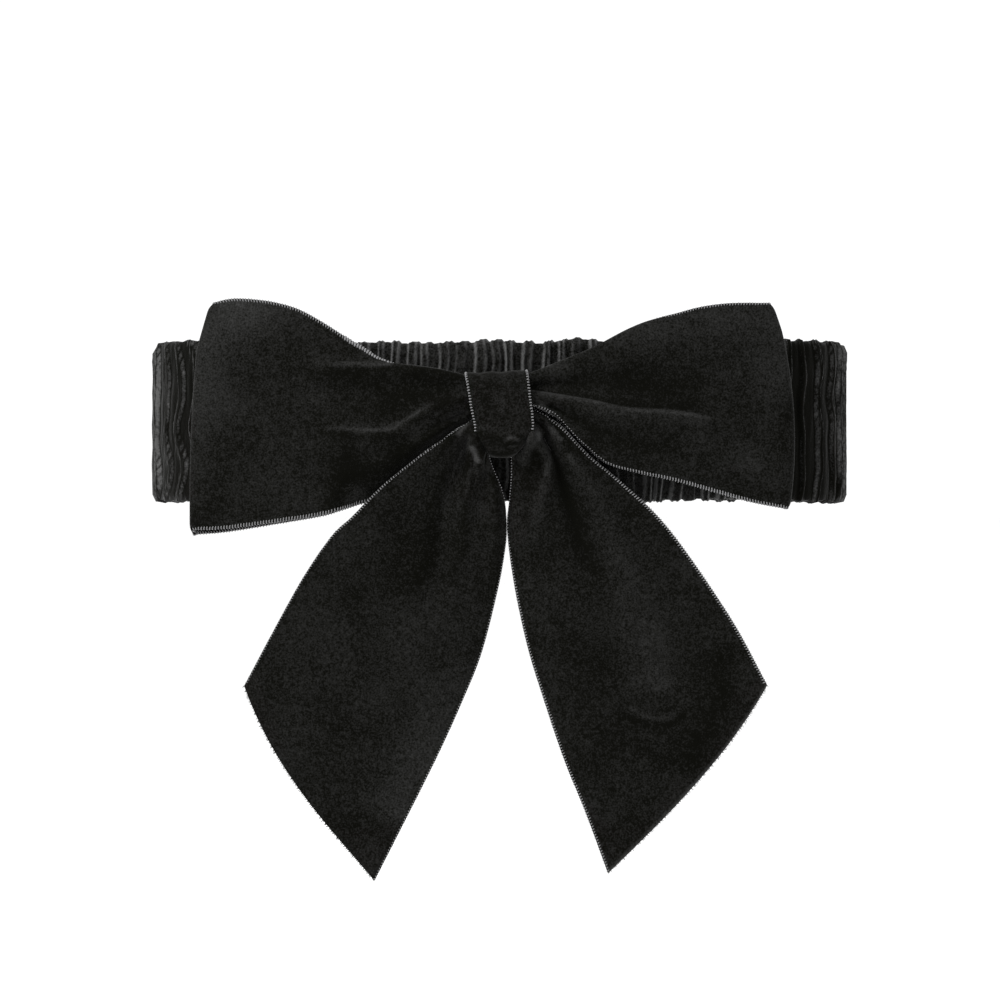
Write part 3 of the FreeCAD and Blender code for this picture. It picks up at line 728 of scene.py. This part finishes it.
wrapWeave = {
    **selvedgeWeave, "reach": 0.44, "wide": 0.23, "high": 0.62, "slant": 0.1, "out": 0.08, "close": 1.0,
}
wrapRibbon = {
    "middle": (knotDepth, (wrapLow.z + wrapHigh.z) / 2 / mm), "grid": (200, 44), "thick": 0.8,
    "flat": (58, 16), "half": (4.7, 10.0), "square": 3.2, "lap": 0.06, "sunk": 0.09, "sunkOver": 0.12,
    "backHalf": 7.2, "crown": 0.5, "foldLight": 2.0, "shade": (-0.5, 0.5), "darker": 0.05,
    "width": [(12.0, 7.3), (8, 7.2), (2, 7.1), (-1.0, 6.9), (-3.5, 6.7), (-6.0, 6.0), (-8.0, 5.1),
              (-9.6, 4.5)],
    "centre": [(12.0, -0.95), (8, -0.4), (3, 0.3), (-1, 0.95), (-5, 0.9), (-9, 0.5)],
    "bottomLift": 2.4, "curl": 0.5, "topWave": 0.22,
    "folds": [
        mark([(-5, -3.4), (1, -4.6), (6, -3.0)], (0.4, 0.6), (1.2, 1.4)),
        mark([(-5, -5.6), (0, -6.7), (4.6, -5.8)], (-0.5, -0.5), (0.9, 0.9)),
        mark([(1.5, -6.2), (3.8, -5.0), (5.2, -3.2)], (0.7, 0.9), (0.8, 0.9)),
        mark([(-4, 8), (-1, 4.6), (3, 3)], (-0.3, -0.4), (1.6, 2.0)),
    ],
    # painted highlights: light wrinkles low on the wrap's front
    "paintedLightShade": [
        mark([(0.8, -5.1), (3.0, -4.4), (4.9, -4.9)], (1.8, 2.4), (0.35, 0.45), rise=0.3),
        mark([(1.4, -6.0), (4.4, -6.0)], (1.2, 1.2), (0.25, 0.25), rise=0.3),
    ],
}


def wrapPlaces(spec, u, v):
    turn = (u * (1 + spec["lap"]) - spec["lap"] / 2) * math.tau + math.pi
    power = 2 / spec["square"]
    y = spec["middle"][0] - spec["half"][0] * np.sign(np.cos(turn)) * np.abs(np.cos(turn)) ** power
    z = spec["middle"][1] + spec["half"][1] * np.sign(np.sin(turn)) * np.abs(np.sin(turn)) ** power
    shrink = 1 - spec["sunk"] * smooth((spec["sunkOver"] - u) / spec["sunkOver"])   # the end under the lap
    y = spec["middle"][0] + (y - spec["middle"][0]) * shrink
    widths, centres = np.array(spec["width"])[::-1], np.array(spec["centre"])[::-1]
    backShare = smooth((y - spec["middle"][0]) / 4)
    half = np.interp(z, *widths.T) * (1 - backShare) + spec["backHalf"] * backShare
    x = np.interp(z, *centres.T) + half * v
    isFront = smooth((spec["middle"][0] + 2 - y) / 3)
    lower = smooth((-1 - z) / 7) * isFront
    z = z + spec["bottomLift"] * np.abs(v) ** 2.6 * lower
    z = z + (spec["topWave"] * ripple(x, z * 0.2, 5, 53) + 0.3 * v - 0.3) * smooth((z - 8) / 3)
    rise = foldHeight(x, z, spec["folds"]) * isFront
    crown = spec["crown"] * (1 - v ** 2)
    return np.stack([x, y - (rise + crown) * isFront + spec["curl"] * v ** 4 * lower, z], axis=1)


def makeWrap(spec):
    mesh, u, v = clothGrid("centre_wrap_ribbon", *spec["grid"])
    places = wrapPlaces(spec, u, v)
    piece = placeCloth("centre_wrap_ribbon", mesh, places, ribbonVelvet, spec["thick"], spec["flat"])
    # painted highlight on ridges and painted shade in folds, a little darker all over
    shade = np.clip(paintedFoldLightShade(places, u, v) * spec["foldLight"], *spec["shade"]) - spec["darker"]
    # painted highlights on the front, and painted shade towards the bottom of the wrap
    marks = foldHeight(places[:, 0], places[:, 2], spec["paintedLightShade"]) - 0.5 * smooth((-7 - places[:, 2]) / 1.5)
    paint(piece, "pileGrainAndPaintedLight", shade + marks * (places[:, 1] < spec["middle"][0]))
    rim = makeSelvedge("centre_wrap_selvedge", places, u, v, wrapWeave)
    for part, slot in ((piece, "ribbon_velvet"), (rim, "selvedge")):
        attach(part, "bow_centre")
    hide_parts("centre_wrap")
    print("centre wrap made")


makeWrap(wrapRibbon)


# band: a velvet tube gathered on its elastic, with the long seam turned in on the inner face

bandPlan = {
    "frontRadius": 170.0, "cornerRadius": 36.0, "thickness": -bandFront, "halfWidth": bandHigh.x / mm,
    "middle": (bandFront + bandBack) / 2, "height": (bandHigh.z - bandLow.z) / mm,
}


def bandLine(plan, inset, columns, crowd):
    # places and outward directions round the band's plan, from the back; crowd puts more of them in front
    corner = plan["halfWidth"] - plan["cornerRadius"]
    reach = plan["frontRadius"] - plan["cornerRadius"]
    opened = math.asin(corner / reach)
    frontCentre = bandFront + plan["frontRadius"]
    cornerY = frontCentre - reach * math.cos(opened)
    run = 2 * (plan["middle"] - cornerY)
    front, tight = plan["frontRadius"] - inset, plan["cornerRadius"] - inset
    backCentre = 2 * plan["middle"] - frontCentre
    pieces = [  # centre, radius, first and last angle from straight ahead
        ((0, frontCentre), front, 0, opened),
        ((corner, cornerY), tight, opened, math.pi / 2),
        (None, run, 0, 0),
        ((corner, cornerY + run), tight, math.pi / 2, math.pi - opened),
        ((0, backCentre), front, math.pi - opened, math.pi),
    ]
    points, normals = [], []
    for centre, size, first, last in pieces:
        if centre is None:
            for k in np.linspace(0, 1, 40, endpoint=False):
                points.append((corner + tight, cornerY + run * k))
                normals.append((1, 0))
            continue
        for a in np.linspace(first, last, 300, endpoint=centre == (0, backCentre)):
            points.append((centre[0] + size * math.sin(a), centre[1] - size * math.cos(a)))
            normals.append((math.sin(a), -math.cos(a)))
    points, normals = np.array(points), np.array(normals)
    mirror = np.array([-1, 1])
    points = np.vstack([points[::-1] * mirror, points[1:]])
    normals = np.vstack([normals[::-1] * mirror, normals[1:]])
    far = np.concatenate([[0], np.cumsum(np.linalg.norm(np.diff(points, axis=0), axis=1))])
    t = np.linspace(-1, 1, columns)
    t = (t * (1 - crowd) + crowd * t ** 3 + 1) / 2
    at = t * far[-1]
    place = np.stack([np.interp(at, far, points[:, k]) for k in (0, 1)], axis=1)
    normal = np.stack([np.interp(at, far, normals[:, k]) for k in (0, 1)], axis=1)
    return place, normal / np.linalg.norm(normal, axis=1)[:, None], at - far[-1] / 2, far[-1]


gathers = {
    "columns": 1900, "rows": 48, "crowd": 0.16, "apart": (3.1, 4.8), "apartEnds": 1.5,
    "crest": (0.55, 1.0), "tall": (0.7, 1.25), "light": (0.25, 0.6, 0.9, 1.1, 1.2),
    "depth": 1.2, "side": 0.9, "edge": 0.6, "edgeWave": 0.3, "taller": 0.045,
    "groove": (0.3, 0.35), "grooveFrom": 0.8, "sag": 0.3, "fine": 0.10, "joinHalf": 3.5, "sway": 0.3,
    "rim": (0.1, 0.27), "endsFrom": 60, "endsOver": 12, "endsDrift": 1.2, "endsShade": 0.55,
    "aheadFrom": 4, "aheadOver": 22,
}


def gatherLines(length, cells):
    # crests along the band: where each one stands, half its width, its height and how bright its painted
    # rim highlight is
    at = [0.0]
    while at[-1] < length:
        beyond = smooth((abs(at[-1] - length / 2) - 62) / 12) * (abs(at[-1] - length / 2) < 105)
        at.append(at[-1] + random.uniform(*cells["apart"]) * (1 + (cells["apartEnds"] - 1) * beyond))
    at = np.array(at) / at[-1] * length - length / 2
    wide = [random.uniform(*cells["crest"]) for _ in at]
    tall = [random.uniform(*cells["tall"]) for _ in at]
    light = [random.choice(cells["light"]) for _ in at]
    return at, np.array(wide), np.array(tall), np.array(light)


def tubeSection(plan, rows):
    # (outwards, up) round the tube, from inside the long seam, down, round the outside and back
    t, h = plan["thickness"], plan["height"] / 2
    half = [(1.35, 4.0), (1.1, 1.2), (0.55, 0.25), (0.25, -0.35), (0.2, -2.0), (0.2, -8), (0.2, -14),
            (0.3, -h + 1.6), (0.9, -h + 0.45), (t / 2, -h + 0.1), (t - 0.9, -h + 0.45), (t - 0.3, -h + 1.6),
            (t - 0.2, -14), (t - 0.2, -8), (t - 0.2, 0)]
    whole = half + [(o, -z) for o, z in half[-2::-1]]
    return smoothPath(whole, rows + 1)


def makeCasing(plan, cells):
    columns, rows = cells["columns"], cells["rows"]
    mesh, u, v = clothGrid("band_casing", columns, rows)
    middle = plan["thickness"] / 2
    place, normal, far, length = bandLine(plan, middle, columns + 1, cells["crowd"])
    section = tubeSection(plan, rows)
    i = np.rint(u * columns).astype(int)
    j = np.rint((v + 1) / 2 * rows).astype(int)
    s, out, z = far[i], section[j, 0], section[j, 1]
    tangent = np.gradient(section, axis=0)
    tangent = tangent / np.linalg.norm(tangent, axis=1)[:, None]
    normalOut, normalUp = tangent[j, 1], -tangent[j, 0]
    inside = smooth((np.abs(j - rows / 2) - rows / 2 + 5) / 4)
    around = np.where(out > middle, 0, 40) + z          # the inner face has folds of its own
    x = place[i, 0]
    ahead = smooth((plan["middle"] - cells["aheadFrom"] - place[i, 1]) / cells["aheadOver"])
    ends = smooth((np.abs(x) - cells["endsFrom"]) / cells["endsOver"]) * ahead
    drift = 0.6 * ripple(s, around * 0.5, 30, 11) + 0.3 * ripple(s, around * 0.9, 13, 17)
    drift = drift + cells["endsDrift"] * ends * ripple(s * 0.6, around * 1.3, 20, 29)
    lines, wide, tall, light = gatherLines(length, cells)
    index = np.clip(np.searchsorted(lines, s + drift) - 1, 0, len(lines) - 2)
    before, after = s + drift - lines[index], lines[index + 1] - s - drift
    crest = index + (after < before)
    away = np.abs(np.minimum(before, after))
    block = 1 - smooth((away - wide[crest] + 0.3) / cells["side"])
    grooveDeep, grooveWide = cells["groove"]
    groove = grooveDeep * np.exp(-(away / grooveWide) ** 2) * (light[crest] > cells["grooveFrom"])
    sag = cells["sag"] * smooth(away / (lines[index + 1] - lines[index]) * 2)
    fine = cells["fine"] * ripple(s * 1.8, around, 5, 23)
    join = smooth((cells["joinHalf"] - np.abs(np.abs(s) - length / 2)) / 3)
    lift = cells["depth"] * (block * (1 - groove) * tall[crest] - 1) + sag + fine
    lift = lift * (1 - inside) * (1 - 0.6 * join)
    edge = np.abs(normalUp) * (np.abs(z) > plan["height"] / 2 - 3)
    lift = lift * (1 - edge * (1 - cells["edge"])) + edge * cells["edgeWave"] * ripple(s, z * 0.1, 18, 31)
    z = z * (1 + cells["taller"] * (0.6 + 0.4 * smooth((np.abs(x) - 55) / 20)))
    # the upper edge stands higher at both ends and right of the knot, and dips left of it
    above = 0.9 * smooth((np.abs(x) - 60) / 8) + 0.9 * np.exp(-((x - 19) / 7) ** 2)
    above = above - 0.4 * np.exp(-((x + 18) / 9) ** 2)
    z = z + above * smooth((z - 10) / 8) * ahead
    out, z = out + normalOut * lift, z + normalUp * lift
    sway = cells["sway"] * ripple(s, around, 9, 41) * (1 - inside)
    onward = np.stack([-normal[i, 1], normal[i, 0]], axis=1)
    xy = place[i] + normal[i] * (out - middle)[:, None] + onward * sway[:, None]
    places = np.column_stack([xy, z])
    piece = placeCloth("band_casing", mesh, places, bandVelvet, 0, (length * 1.5, 92))
    # painted highlights: bright rims along the edges of each crest
    rimOff, rimWide = cells["rim"]
    paintedRimHighlights = np.exp(-((away - wide[crest] - rimOff) / rimWide) ** 2) * light[crest]
    # painted shade: the rims dimmer at both ends, most at the right end
    shaded = np.where(x > 0, 1.0, 0.35) * ends
    paintedRimHighlights = paintedRimHighlights * (0.85 + 0.4 * ripple(s, around, 12, 37)) * (1 - cells["endsShade"] * shaded)
    # painted rim highlights, dimmer on the back, with painted shade at both ends and on the back
    paint(piece, "pileGrainAndPaintedLight", (paintedRimHighlights * (0.6 + 0.4 * ahead) - 0.15 * ends - 0.05 * (1 - ahead)) * (1 - inside))
    return piece, length


bandCasing, bandLength = makeCasing(bandPlan, gathers)
print("band length, mm:", round(bandLength))


elasticStrip = {"grid": (360, 8), "half": 16, "thick": 0.8, "lapEnds": 10, "lapApart": 0.45}


def makeElastic(plan, strip):
    columns, half = strip["grid"][0], strip["half"]
    mesh, u, v = clothGrid("band_elastic", *strip["grid"])
    place, normal, far, length = bandLine(plan, plan["thickness"] / 2, columns + 1, 0)
    i = np.rint(u * columns).astype(int)
    ends = smooth((strip["lapEnds"] - np.abs(np.abs(far[i]) - length / 2)) / 2)
    lap = ends * np.sign(far[i]) * strip["lapApart"]
    xy = place[i] + normal[i] * lap[:, None]
    places = np.column_stack([xy, v * half])
    return placeCloth("band_elastic", mesh, places, elasticWeave, strip["thick"], (length, 2 * half))


bandElastic = makeElastic(bandPlan, elasticStrip)

seamStitch = {"apart": 3.2, "size": (1.05, 0.25, 0.25), "sunk": 0.15, "lean": 0.25, "stray": 0.15}


def makeSeamStitches(plan, spec):
    place, normal, far, length = bandLine(plan, plan["thickness"] - spec["sunk"], 2000, 0)
    count = int(length / spec["apart"])
    stitches = []
    for k in range(count):
        i = int(np.argmin(np.abs(far - ((k + 0.5) / count * length - length / 2))))
        out = Vector((normal[i, 0], normal[i, 1], 0)).normalized()
        lean = random.uniform(-spec["lean"], spec["lean"])
        run = Vector((-normal[i, 1], normal[i, 0], lean)).normalized()
        spot = (place[i, 0], place[i, 1], random.uniform(-spec["stray"], spec["stray"]))
        stitches.append(framed(spot, run, out.cross(run), out, spec["size"]))
    return scatter("band_seam_stitches", stitches, stitch, sewingThread)


seamStitches = makeSeamStitches(bandPlan, seamStitch)
for piece, slot in ((bandCasing, "band_velvet"), (bandElastic, "elastic"), (seamStitches, "thread")):
    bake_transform(piece)
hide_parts("casing_front", "casing_back")
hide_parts("elastic_front", "elastic_back")
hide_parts("casing_seam_front", "casing_seam_back")
print("band made")


# pinched middles of the two ribbons, inside the wrap

pinchPleats = {"grid": (40, 60), "deep": 2.9, "deepPleats": (0.35, 9), "tallPleats": (0.2, 7)}


def makePinch(name, low, high, halfWidth, nodes, spec=pinchPleats):
    columns, rows = spec["grid"]
    deepHigh, deepCount = spec["deepPleats"]
    tallHigh, tallCount = spec["tallPleats"]
    bm = bmesh.new()
    bmesh.ops.create_grid(bm, x_segments=columns, y_segments=rows, size=0.5)
    for vert in bm.verts:
        u, v = vert.co.x * 2, vert.co.y * math.tau
        deep = math.cos(v) * (spec["deep"] + deepHigh * math.cos(deepCount * v))
        tall = math.sin(v) * ((high - low) / 2 + tallHigh * math.cos(tallCount * v))
        vert.co = Vector((u * halfWidth, knotDepth + deep, (low + high) / 2 + tall)) * mm
    bmesh.ops.remove_doubles(bm, verts=bm.verts, dist=0.01 * mm)
    ends = [e for e in bm.edges if e.is_boundary]
    bmesh.ops.holes_fill(bm, edges=ends, sides=0)
    bmesh.ops.recalc_face_normals(bm, faces=bm.faces)
    piece = meshPiece(name, bm, ribbonVelvet)
    # painted shade: the pinched pleats inside the wrap a little darker than the open ribbon
    paint(piece, "pileGrainAndPaintedLight", [-0.2] * len(piece.data.vertices))
    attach(piece, "bow_centre")
    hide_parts(*nodes)


makePinch("loop_pleats", low=-0.6, high=9.6, halfWidth=6.6, nodes=["loop_gather"])
makePinch("tail_pleats", low=-6.6, high=-1.0, halfWidth=4.2, nodes=["tail_gather"])

for node in ("cinch_thread", "wrap_stitches", "tack_stitches", "elastic_join_stitches",
             "casing_closing_stitches"):
    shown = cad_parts[node]
    shown.data.materials.clear()
    shown.data.materials.append(sewingThread)
print("threads finished")


# floor, light and camera

studio = {"floorRadius": 30, "floorDrop": 0.06, "floor": ((0.93, 0.93, 0.93, 1), (0.95, 0.95, 0.95, 1)),
          "world": (1, 1, 1, 1), "worldPower": 1.08, "aim": (0, 0, -0.02)}


def makeStage(spec):
    bm = bmesh.new()
    bmesh.ops.create_circle(bm, cap_ends=True, segments=64, radius=spec["floorRadius"])
    f = Finish("floor paint", Specular_IOR_Level=0.1)
    cloud = f.noise(f.node("ShaderNodeTexCoord", output=3), 3.0)
    f.feed("Base Color", f.blend(cloud, *spec["floor"]))
    floor = meshPiece("floor", bm, f.material)
    for vert in floor.data.vertices:
        vert.co.z = cadLow.z - spec["floorDrop"]
    world = bpy.data.worlds.new("studio")
    bpy.context.scene.world = world
    world.use_nodes = True
    background = world.node_tree.nodes["Background"]
    background.inputs["Color"].default_value = spec["world"]
    background.inputs["Strength"].default_value = spec["worldPower"]
    bpy.context.scene.view_settings.view_transform = "Standard"


def addLight(name, place, aim, size, power):
    light = bpy.data.lights.new(name, "AREA")
    light.shape, light.size, light.energy = "DISK", size, power
    holder = addObject(name, light)
    holder.location = place
    holder.rotation_euler = (Vector(aim) - Vector(place)).to_track_quat("-Z", "Y").to_euler()


makeStage(studio)
addLight("key", (-0.9, -0.6, 0.9), studio["aim"], size=0.5, power=22)
addLight("fill", (1.0, -0.6, 0.5), studio["aim"], size=0.6, power=3)

view = {"lens": 120.0, "sensor": 36.0, "across": 1.0 / 4.2, "aim": (0.0, -0.010, -0.01905)}
camera = bpy.data.cameras.new("camera")
camera.lens, camera.sensor_width = view["lens"], view["sensor"]
cameraHolder = addObject("camera", camera)
aimX, aimY, aimZ = view["aim"]
cameraHolder.location = (aimX, aimY - view["across"] * view["lens"] / view["sensor"], aimZ)
cameraHolder.rotation_euler = (math.pi / 2, 0, 0)
camera.clip_start, camera.clip_end = 0.01, 100
bpy.context.scene.camera = cameraHolder
